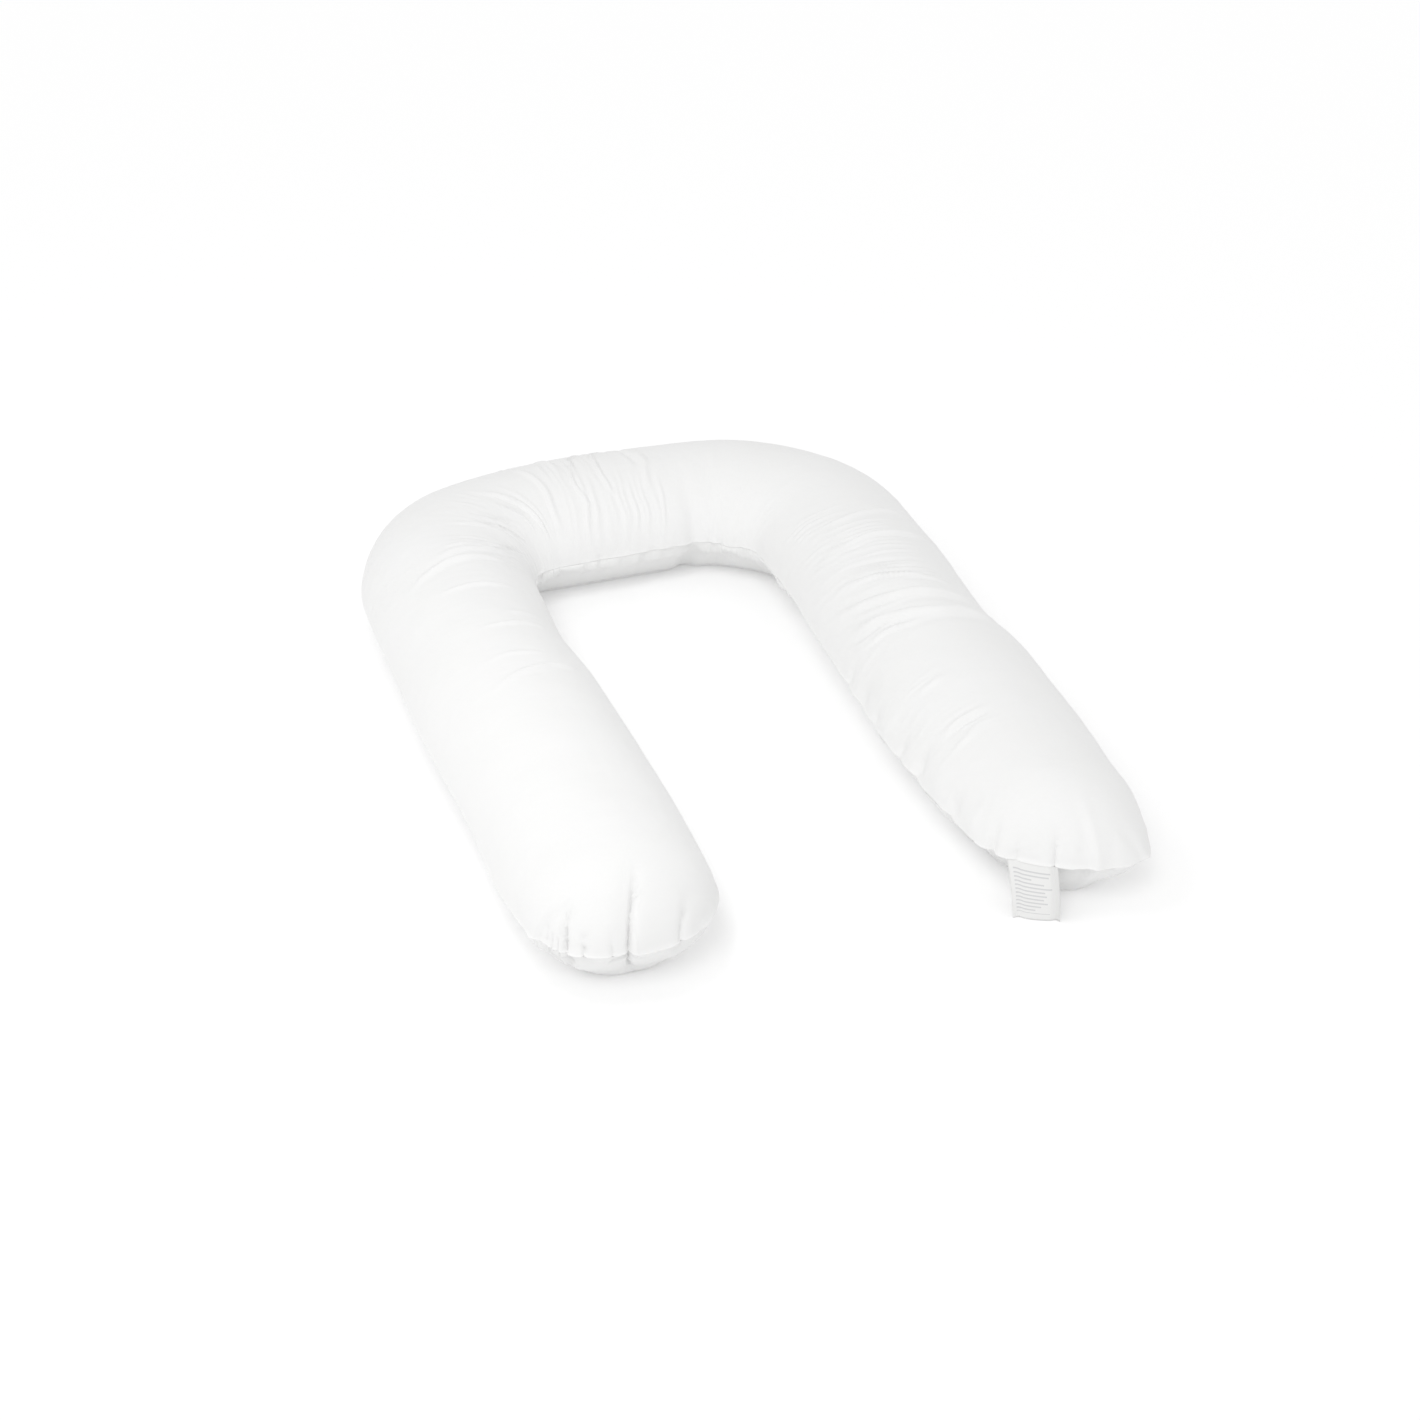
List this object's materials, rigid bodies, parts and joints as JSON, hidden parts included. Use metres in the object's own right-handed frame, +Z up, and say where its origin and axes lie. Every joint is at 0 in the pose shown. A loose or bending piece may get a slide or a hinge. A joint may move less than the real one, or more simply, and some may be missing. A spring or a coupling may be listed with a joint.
{
  "type": "pregnancy pillow",
  "caption": "Long U-shaped body pillow, filled and crowned, with a seam round its rim and a small blank care label sewn into one arm end.",
  "frame": {"origin": "middle of the pillow's plan box, on the surface it lies on", "axes": "+Z up, the closed end of the U towards +Y and both arms towards -Y"},
  "size_m": [0.8276, 1.2085, 0.1647],
  "materials": {
    "brushed_fabric": "matte white brushed microfibre",
    "label_satin": "white woven satin tape"
  },
  "bodies": {
    "root": {"pillow": "brushed_fabric", "care_label": "label_satin"}
  },
  "joints": []
}
